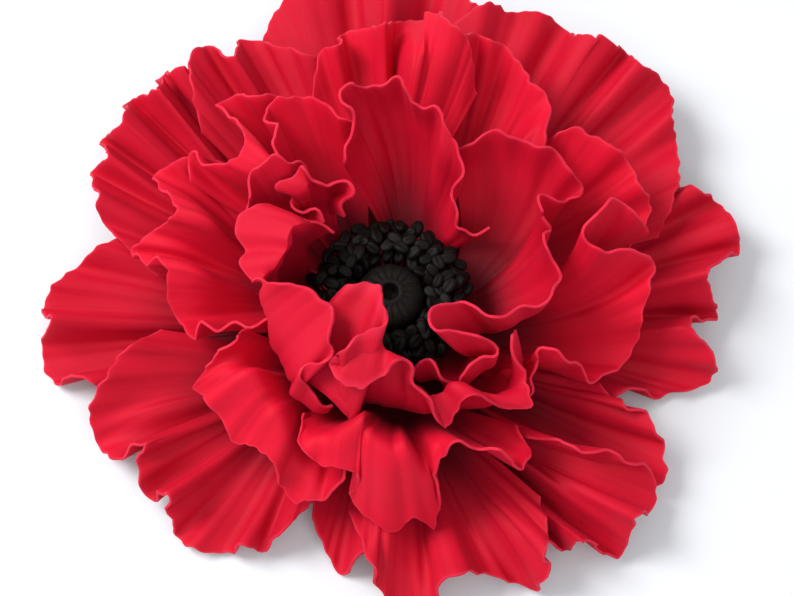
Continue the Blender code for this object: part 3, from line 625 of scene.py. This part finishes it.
def petal_finish(name, red, rim_painted_highlight, heart, stain_and_shade_top):
    """Poppy petal: thin satin skin with fine veins fanning to the rim.

    To the eye: deep saturated red, a pink bloom where it turns away, a painted highlight along the
    rim and a maroon heart that is partly the petal's real dark blotch and partly painted shade.
    """
    made, tree, shader = new_finish(name)
    shader.inputs["Roughness"].default_value = 0.62
    shader.inputs["Specular IOR Level"].default_value = 0.12
    shader.inputs["Sheen Weight"].default_value = 0.07
    shader.inputs["Sheen Roughness"].default_value = 0.45
    shader.inputs["Sheen Tint"].default_value = linear("#FF5A78")
    shader.inputs["Subsurface Weight"].default_value = 0.12
    shader.inputs["Subsurface Radius"].default_value = (0.0022, 0.0004, 0.0004)
    shader.inputs["Subsurface Scale"].default_value = 1.0

    places = add_node(tree, "ShaderNodeUVMap", {"uv_map": "petal_places"})
    # Veins about 0.9 mm apart along the rim and some 14 mm long; UVs are in cm
    veins_at = add_node(tree, "ShaderNodeMapping", {"Scale": (11.0, 0.7, 1.0)},
                        {"Vector": places.outputs["UV"]})
    veins = add_node(tree, "ShaderNodeTexNoise", {"Scale": 1.0, "Detail": 3.0, "Roughness": 0.55},
                     {"Vector": veins_at.outputs["Vector"]})
    # Broad clouds of deeper red, about 12 mm across
    cloud_at = add_node(tree, "ShaderNodeTexCoord")
    clouds = add_node(tree, "ShaderNodeTexNoise", {"Scale": 80.0, "Detail": 2.0},
                      {"Vector": cloud_at.outputs["Object"]})
    blend = add_node(tree, "ShaderNodeMath", {"operation": "MULTIPLY_ADD", 1: 0.35, 2: 0.1},
                     {0: veins.outputs["Fac"]})
    depth = add_node(tree, "ShaderNodeMath", {"operation": "MULTIPLY_ADD", 1: 0.5},
                     {0: clouds.outputs["Fac"], 2: blend.outputs["Value"]})
    reds = add_node(tree, "ShaderNodeValToRGB", None, {"Fac": depth.outputs["Value"]})
    reds.color_ramp.elements[0].position = 0.25
    reds.color_ramp.elements[0].color = (red[0] * 0.72, red[1] * 0.6, red[2] * 0.6, 1.0)
    reds.color_ramp.elements[1].position = 0.55
    reds.color_ramp.elements[1].color = red
    to_rim = add_node(tree, "ShaderNodeAttribute", {"attribute_name": "to_rim"})
    # Painted highlight: the rim is painted paler over its last 0.45 mm, where a petal's edge catches
    # the light
    rim = add_node(tree, "ShaderNodeMapRange",
                   {"From Min": 0.0, "From Max": 0.45, "To Min": 0.24, "To Max": 0.0},
                   {"Value": to_rim.outputs["Fac"]})
    colour = add_node(tree, "ShaderNodeMix", {"data_type": "RGBA", 7: rim_painted_highlight},
                      {0: rim.outputs["Result"], 6: reds.outputs["Color"]})
    # Towards its foot the petal is painted deep maroon, fading out on the way up: partly the real
    # dark blotch of a poppy's heart, partly painted shade of the gaps between petals and round the
    # stamens
    from_foot = add_node(tree, "ShaderNodeAttribute", {"attribute_name": "from_foot"})
    stain_and_shade = add_node(tree, "ShaderNodeMapRange",
                     {"interpolation_type": "SMOOTHSTEP", "From Min": stain_and_shade_top - STAIN_AND_SHADE_FADE,
                      "From Max": stain_and_shade_top, "To Min": 0.92, "To Max": 0.0},
                     {"Value": from_foot.outputs["Fac"]})
    stain_and_shade_mix = add_node(tree, "ShaderNodeMix", {"data_type": "RGBA", 7: heart},
                       {0: stain_and_shade.outputs["Result"], 6: colour.outputs[2]})
    tree.links.new(stain_and_shade_mix.outputs[2], shader.inputs["Base Color"])
    bump = add_node(tree, "ShaderNodeBump", {"Strength": 0.12, "Distance": 0.0003},
                    {"Height": veins.outputs["Fac"]})
    tree.links.new(bump.outputs["Normal"], shader.inputs["Normal"])
    return made


def dry_skin_finish(name, colour, roughness, grain_mm):
    """Dry plant skin: matt, mottled lighter and darker, with a painted sheen on the raised grains,
    which also catch light.
    """
    made, tree, shader = new_finish(name)
    shader.inputs["Roughness"].default_value = roughness
    shader.inputs["Specular IOR Level"].default_value = 0.1
    place = add_node(tree, "ShaderNodeTexCoord")
    grain = add_node(tree, "ShaderNodeTexNoise", {"Scale": 1.0 / (grain_mm * MM), "Detail": 4.0},
                     {"Vector": place.outputs["Object"]})
    # The grain that lifts the bump also lightens the colour: a random mottle plus a painted sheen on
    # the raised grains
    shade = add_node(tree, "ShaderNodeValToRGB", None, {"Fac": grain.outputs["Fac"]})
    for element, position, share in zip(shade.color_ramp.elements, (0.3, 0.75), (0.55, 1.6)):
        element.position = position
        element.color = (*[part * share for part in colour[:3]], 1.0)
    tree.links.new(shade.outputs["Color"], shader.inputs["Base Color"])
    bump = add_node(tree, "ShaderNodeBump", {"Strength": 0.4, "Distance": 0.0002},
                    {"Height": grain.outputs["Fac"]})
    tree.links.new(bump.outputs["Normal"], shader.inputs["Normal"])
    return made


# ---------------------------------------------------------------- pod and stamens

def turned_points(profile, segments, swell, sink):
    """Corners and faces of a closed form turned about the flower's axis, in mm."""
    angle = np.arange(segments) * 2.0 * math.pi / segments
    corners, faces = [(0.0, 0.0, profile[0][1])], []
    for radius, height in profile[1:-1]:
        reach = radius * swell(angle, radius, height)
        lift = height - sink(angle, radius, height)
        corners.extend(zip(reach * np.cos(angle), reach * np.sin(angle), lift))
    corners.append((0.0, 0.0, profile[-1][1]))
    last = len(corners) - 1
    rings = len(profile) - 2
    for index in range(segments):
        after = (index + 1) % segments
        faces.append((0, 1 + after, 1 + index))
        for ring in range(rings - 1):
            low, high = 1 + ring * segments, 1 + (ring + 1) * segments
            faces.append((low + index, low + after, high + after, high + index))
        top = 1 + (rings - 1) * segments
        faces.append((last, top + index, top + after))
    return corners, faces


def smooth_profile(points, steps):
    """Profile points joined by a smooth curve, with a few steps to each stretch."""
    points = np.array(points, dtype=float)
    length = np.concatenate(([0.0], np.cumsum(np.linalg.norm(np.diff(points, axis=0), axis=1))))
    places = np.concatenate([np.linspace(a, b, steps, endpoint=False)
                             for a, b in zip(length, length[1:])] + [length[-1:]])
    return [tuple(point) for point in through(points, length, places)]


def make_pod():
    """Round pod: a bald dark ball with a ribbed disc on top and a hole with a raised lip."""
    base, top = POD_LOW.z / MM, POD_HIGH.z / MM
    wide = (POD_HIGH.x - POD_LOW.x) / 2.0 / MM / POD_RIB_ROOM
    body = smooth_profile([(2.6, base), (3.2, base + 1.0), (5.1, base + 2.5), (5.95, base + 4.1),
                           (wide, base + 5.5), (5.9, base + 6.8), (5.1, top - 1.1),
                           (3.9, top - 0.45), (2.7, top - 0.22)], 5)
    lip = [(2.45, top - 0.12), (2.2, top - 0.02), (1.95, top), (1.7, top - 0.06),
           (1.56, top - 0.3), (1.5, top - 0.7), (1.5, top - POD_HOLE_DEPTH)]
    profile = [(0.0, base)] + body + lip + [(0.0, top - POD_HOLE_DEPTH)]

    def ribs(angle, radius, height):
        """Ribs from the lip over the shoulder, fading out at the widest part."""
        share = min(max((height - base - 4.0) / 3.0, 0.0), 1.0)
        share *= min(max((radius - 2.4) / 1.0, 0.0), 1.0)
        return 1.0 + POD_RIB * share * np.abs(np.cos(POD_RIBS / 2.0 * angle)) ** 0.7

    def grooves(angle, radius, height):
        """Shallow rays in the top of the pod between its lip and its shoulder."""
        share = min(max((radius - 2.4) / 0.6, 0.0), 1.0) * min(max((height - top + 2.5), 0.0), 1.0)
        return POD_RAY_DEPTH * share * (0.5 + 0.5 * np.cos(POD_RAYS * angle)) ** 2

    corners, faces = turned_points(profile, POD_SIDES, ribs, grooves)
    settings = bpy.context.scene.poppy_middle
    finish = dry_skin_finish("pod_dry_black_skin", settings.pod_brown, 0.6, 0.5)
    piece = add_piece("seed_pod", plain_mesh("seed_pod", corners, faces), finish)
    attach(piece, "root")
    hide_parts("seed_pod")


def plain_mesh(name, corners, faces):
    """Smooth-shaded mesh from corners in mm about the flower's axis."""
    mesh = bpy.data.meshes.new(name)
    places = np.array(corners) * MM + np.array((*FLOWER_AXIS, 0.0))
    mesh.from_pydata(places.tolist(), [], faces)
    mesh.shade_smooth()
    return mesh


def bean(length, rings=10, sides=16):
    """Anther like a small bean: long along X, with a groove down its upper side.

    It is 0.72 of its length wide and 0.58 of it thick before the groove is taken out of it.
    """
    corners, faces = [(-length / 2.0, 0.0, 0.0)], []
    for ring in range(1, rings):
        along = -math.cos(math.pi * ring / rings)
        girth = math.sqrt(1.0 - along * along) ** 0.8
        for side in range(sides):
            angle = 2.0 * math.pi * side / sides
            groove = math.exp(-((angle - math.pi / 2.0) / 0.36) ** 2)
            reach = girth * (1.0 - 0.5 * groove * girth)
            corners.append((along * length / 2.0, math.cos(angle) * length * 0.36 * reach,
                            math.sin(angle) * length * 0.29 * reach))
    corners.append((length / 2.0, 0.0, 0.0))
    last = len(corners) - 1
    for side in range(sides):
        after = (side + 1) % sides
        faces.append((0, 1 + after, 1 + side))
        for ring in range(rings - 2):
            low, high = 1 + ring * sides, 1 + (ring + 1) * sides
            faces.append((low + side, low + after, high + after, high + side))
        top = 1 + (rings - 2) * sides
        faces.append((last, top + side, top + after))
    return np.array(corners), faces


def tube(path, radius, sides=7):
    """Corners and faces of a thin round stalk along a path of points in mm."""
    path = np.array(path, dtype=float)
    way = np.gradient(path, axis=0)
    way /= np.linalg.norm(way, axis=1, keepdims=True)
    aside = np.cross(way, (0.3, 0.2, 1.0))
    aside /= np.linalg.norm(aside, axis=1, keepdims=True)
    over = np.cross(way, aside)
    angle = np.arange(sides) * 2.0 * math.pi / sides
    rings = path[:, None] + radius * (aside[:, None] * np.cos(angle)[None, :, None]
                                      + over[:, None] * np.sin(angle)[None, :, None])
    faces = [(ring * sides + side, ring * sides + (side + 1) % sides,
              (ring + 1) * sides + (side + 1) % sides, (ring + 1) * sides + side)
             for ring in range(len(path) - 1) for side in range(sides)]
    faces.append(tuple(range(sides))[::-1])
    faces.append(tuple((len(path) - 1) * sides + side for side in range(sides)))
    return rings.reshape(-1, 3), faces


def turn_matrix(chance):
    """Random lie of an anther: any way round, tipped a little along and across it."""
    yaw = chance.uniform(0.0, math.pi)
    tip = chance.normal(0.0, 0.3)
    roll = chance.normal(0.0, 0.35)
    about_z = np.array([[math.cos(yaw), -math.sin(yaw), 0.0], [math.sin(yaw), math.cos(yaw), 0.0],
                        [0.0, 0.0, 1.0]])
    about_x = np.array([[1.0, 0.0, 0.0], [0.0, math.cos(roll), -math.sin(roll)],
                        [0.0, math.sin(roll), math.cos(roll)]])
    about_y = np.array([[math.cos(tip), 0.0, math.sin(tip)], [0.0, 1.0, 0.0],
                        [-math.sin(tip), 0.0, math.cos(tip)]])
    return about_z @ about_y @ about_x


def make_stamens():
    """Whorls of stamens: curved filaments, each with a grooved anther lying on its end."""
    settings = bpy.context.scene.poppy_middle
    finish = dry_skin_finish("anther_dry_black_skin", settings.anther_brown, 0.5, 0.35)
    shapes = {node: ([], []) for node in RING_PLACES}
    chance = np.random.default_rng(7)
    for radius, height, count, node in ANTHER_ROWS:
        ring_radius, ring_height = RING_PLACES[node]
        for index in range(count):
            angle = 2.0 * math.pi * (index + chance.uniform(-0.22, 0.22)) / count + radius
            reach = radius + chance.normal(0.0, 0.3)
            level = height + chance.normal(0.0, 0.4)
            stalk = [(ring_radius, ring_height), (ring_radius + (reach - ring_radius) * 0.75,
                     ring_height + (level - ring_height) * 0.3),
                     (reach, ring_height + (level - ring_height) * 0.65), (reach, level)]
            stalk = smooth_profile(stalk, 3)
            path = [(r * math.cos(angle), r * math.sin(angle), z) for r, z in stalk]
            add_shape(shapes[node], *tube(path, FILAMENT_RADIUS))
            corners, faces = bean(settings.anther_length / MM * chance.uniform(0.88, 1.08))
            corners = corners @ turn_matrix(chance).T + np.array(path[-1])
            add_shape(shapes[node], corners, faces)
    for node, (ring_radius, ring_height) in RING_PLACES.items():
        turn = np.linspace(0.0, 2.0 * math.pi, 61)
        loop = np.stack((ring_radius * np.cos(turn), ring_radius * np.sin(turn),
                         np.full(61, ring_height)), axis=1)
        add_shape(shapes[node], *tube(loop, RING_RADIUS))
        piece = add_piece(node, plain_mesh(node, *shapes[node]), finish)
        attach(piece, "root")
        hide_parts(node)


def add_shape(shape, corners, faces):
    """Add corners and faces to a growing shape."""
    start = len(shape[0])
    shape[0].extend(np.asarray(corners).tolist())
    shape[1].extend([tuple(start + corner for corner in face) for face in faces])


# ---------------------------------------------------------------- operators

class POPPY_OT_petals(bpy.types.Operator):
    """Make the petals of one whorl"""

    bl_idname = "poppy.petals"
    bl_label = "Petals"

    whorl: bpy.props.StringProperty(name="Whorl", description="Outer, middle or inner",
                                    default="outer")

    def execute(self, context):
        make_petals(self.whorl)
        return {"FINISHED"}


class POPPY_OT_pod(bpy.types.Operator):
    """Make the seed pod"""

    bl_idname = "poppy.pod"
    bl_label = "Seed pod"

    def execute(self, context):
        make_pod()
        return {"FINISHED"}


class POPPY_OT_stamens(bpy.types.Operator):
    """Make the whorls of stamens"""

    bl_idname = "poppy.stamens"
    bl_label = "Stamens"

    def execute(self, context):
        make_stamens()
        return {"FINISHED"}


class POPPY_OT_receptacle(bpy.types.Operator):
    """Give the receptacle its finish"""

    bl_idname = "poppy.receptacle"
    bl_label = "Receptacle"

    def execute(self, context):
        settings = context.scene.poppy_middle
        finish = dry_skin_finish("receptacle_green_skin", settings.receptacle_green, 0.6, 0.8)
        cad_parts["receptacle"].data.materials[0] = finish
        return {"FINISHED"}


class POPPY_OT_stage(bpy.types.Operator):
    """Make the floor, the soft lights and the camera"""

    bl_idname = "poppy.stage"
    bl_label = "Stage"

    def execute(self, context):
        settings = context.scene.poppy_stage
        add_floor(settings)
        add_lights()
        add_camera(settings)
        return {"FINISHED"}


def add_floor(settings):
    """Wide pale floor: a matt board that reads as nearly white and takes soft shadows."""
    made, _, shader = new_finish("floor_matt_white_board")
    shader.inputs["Roughness"].default_value = 0.9
    shader.inputs["Base Color"].default_value = settings.floor
    mesh = bpy.data.meshes.new("floor")
    mesh.from_pydata([(x * FLOOR_HALF, y * FLOOR_HALF, 0.0)
                      for x, y in ((-1, -1), (1, -1), (1, 1), (-1, 1))], [], [(0, 1, 2, 3)])
    mesh.materials.append(made)
    floor = bpy.data.objects.new("floor", mesh)
    bpy.context.scene.collection.objects.link(floor)


def add_light(name, place, size, power):
    """Square soft white light that faces the flower."""
    lamp = bpy.data.lights.new(name, "AREA")
    lamp.size = size
    lamp.energy = power
    light = bpy.data.objects.new(name, lamp)
    bpy.context.scene.collection.objects.link(light)
    light.location = place
    way = LIT_POINT - Vector(place)
    light.rotation_euler = way.to_track_quat("-Z", "Y").to_euler()


def add_lights():
    """Soft window light from the back left, a weak fill from the front, and a pale room."""
    for name, place, size, power in LIGHTS:
        add_light(name, place, size, power)
    world = bpy.data.worlds.new("pale_room")
    world.use_nodes = True
    world.node_tree.nodes["Background"].inputs["Color"].default_value = linear("#F4F6FA")
    world.node_tree.nodes["Background"].inputs["Strength"].default_value = ROOM_STRENGTH
    bpy.context.scene.world = world
    bpy.context.scene.view_settings.view_transform = "Standard"


def add_camera(settings):
    """Camera that looks down at the pod from the front."""
    target = Vector((*FLOWER_AXIS, POD_HIGH.z))
    back = Vector((0.0, -math.cos(settings.view_height), math.sin(settings.view_height)))
    data = bpy.data.cameras.new("camera")
    data.lens = settings.lens
    data.sensor_width = 36.0
    data.shift_x, data.shift_y = CAMERA_SHIFT
    camera = bpy.data.objects.new("camera", data)
    bpy.context.scene.collection.objects.link(camera)
    camera.location = target + back * settings.distance
    camera.rotation_euler = back.to_track_quat("Z", "Y").to_euler()
    bpy.context.scene.camera = camera


class POPPY_PT_sidebar(bpy.types.Panel):
    """Sizes, colours and buttons of the poppy"""

    bl_label = "Poppy"
    bl_idname = "POPPY_PT_sidebar"
    bl_space_type = "VIEW_3D"
    bl_region_type = "UI"
    bl_category = "Poppy"

    def draw(self, context):
        for settings in (context.scene.poppy_petals, context.scene.poppy_middle,
                         context.scene.poppy_stage):
            box = self.layout.box()
            for key in settings.__annotations__:
                box.prop(settings, key)
        for whorl in ("outer", "middle", "inner"):
            button = self.layout.operator("poppy.petals", text=f"{whorl.title()} petals")
            button.whorl = whorl
        for name in ("poppy.pod", "poppy.stamens", "poppy.receptacle", "poppy.stage"):
            self.layout.operator(name)


CLASSES = (POPPY_PG_petals, POPPY_PG_middle, POPPY_PG_stage, POPPY_OT_petals, POPPY_OT_pod,
           POPPY_OT_stamens, POPPY_OT_receptacle, POPPY_OT_stage, POPPY_PT_sidebar)


def register():
    """Register the classes and hang the settings on the scene."""
    for made in CLASSES:
        bpy.utils.register_class(made)
    bpy.types.Scene.poppy_petals = bpy.props.PointerProperty(type=POPPY_PG_petals)
    bpy.types.Scene.poppy_middle = bpy.props.PointerProperty(type=POPPY_PG_middle)
    bpy.types.Scene.poppy_stage = bpy.props.PointerProperty(type=POPPY_PG_stage)


def unregister():
    """Take the settings and the classes away."""
    for key in ("poppy_petals", "poppy_middle", "poppy_stage"):
        delattr(bpy.types.Scene, key)
    for made in reversed(CLASSES):
        bpy.utils.unregister_class(made)


def main():
    """Make every piece in order."""
    register()
    for whorl in ("outer", "middle", "inner"):
        bpy.ops.poppy.petals(whorl=whorl)
    bpy.ops.poppy.pod()
    bpy.ops.poppy.stamens()
    bpy.ops.poppy.receptacle()
    bpy.ops.poppy.stage()


if __name__ == "__main__":
    main()
